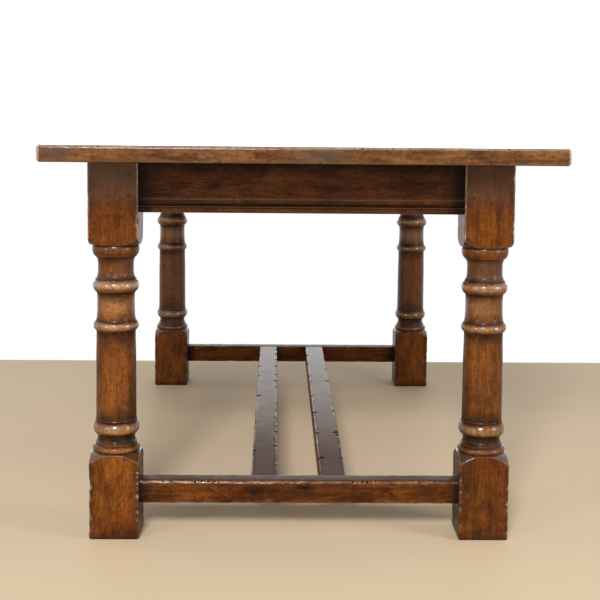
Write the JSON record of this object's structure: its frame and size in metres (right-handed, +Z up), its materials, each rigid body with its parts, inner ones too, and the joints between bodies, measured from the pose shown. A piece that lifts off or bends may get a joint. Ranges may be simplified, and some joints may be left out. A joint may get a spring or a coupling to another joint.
{
  "type": "refectory table",
  "caption": "Long oak dining table with a cleated plank top, turned legs between square blocks, moulded rails, and low cross stretchers joined by long stretchers.",
  "frame": {"origin": "on the floor, under the centre of the table", "axes": "+X across the table to the right, +Y along the table away from the end that the picture shows, +Z up"},
  "size_m": [0.914, 1.83, 0.762],
  "materials": {
    "top_oak": "stained and waxed oak, mid brown, polished by use",
    "leg_oak": "stained and waxed oak, amber brown with near-black recesses",
    "rail_oak": "stained and waxed oak, dark brown",
    "stretcher_oak": "stained and waxed oak, red brown, with worn and nicked arrises",
    "peg_oak": "end grain oak, darkened",
    "button_oak": "bare oak",
    "screw_steel": "dulled steel"
  },
  "bodies": {
    "root": {"top_board_1": "top_oak", "top_board_2": "top_oak", "top_board_3": "top_oak", "top_board_4": "top_oak", "cleat_front": "top_oak", "cleat_back": "top_oak", "peg_cleat_front_left": "peg_oak", "peg_cleat_front_centre": "peg_oak", "peg_cleat_front_right": "peg_oak", "peg_cleat_back_left": "peg_oak", "peg_cleat_back_centre": "peg_oak", "peg_cleat_back_right": "peg_oak", "leg_front_left": "leg_oak", "leg_front_right": "leg_oak", "leg_back_left": "leg_oak", "leg_back_right": "leg_oak", "end_rail_front": "rail_oak", "end_rail_back": "rail_oak", "side_rail_left": "rail_oak", "side_rail_right": "rail_oak", "peg_rail_front_left_lower": "peg_oak", "peg_rail_front_left_upper": "peg_oak", "peg_rail_front_right_lower": "peg_oak", "peg_rail_front_right_upper": "peg_oak", "peg_rail_back_left_lower": "peg_oak", "peg_rail_back_left_upper": "peg_oak", "peg_rail_back_right_lower": "peg_oak", "peg_rail_back_right_upper": "peg_oak", "peg_rail_left_front_lower": "peg_oak", "peg_rail_left_front_upper": "peg_oak", "peg_rail_left_back_lower": "peg_oak", "peg_rail_left_back_upper": "peg_oak", "peg_rail_right_front_lower": "peg_oak", "peg_rail_right_front_upper": "peg_oak", "peg_rail_right_back_lower": "peg_oak", "peg_rail_right_back_upper": "peg_oak", "cross_stretcher_front": "stretcher_oak", "cross_stretcher_back": "stretcher_oak", "long_stretcher_left": "stretcher_oak", "long_stretcher_right": "stretcher_oak", "peg_stretcher_front_left": "peg_oak", "peg_stretcher_front_right": "peg_oak", "peg_stretcher_back_left": "peg_oak", "peg_stretcher_back_right": "peg_oak", "peg_long_stretcher_left_front": "peg_oak", "peg_long_stretcher_left_back": "peg_oak", "peg_long_stretcher_right_front": "peg_oak", "peg_long_stretcher_right_back": "peg_oak", "button_front": "button_oak", "button_back": "button_oak", "button_left_front": "button_oak", "button_left_back": "button_oak", "button_right_front": "button_oak", "button_right_back": "button_oak", "screw_front": "screw_steel", "screw_back": "screw_steel", "screw_left_front": "screw_steel", "screw_left_back": "screw_steel", "screw_right_front": "screw_steel", "screw_right_back": "screw_steel"}
  },
  "joints": []
}
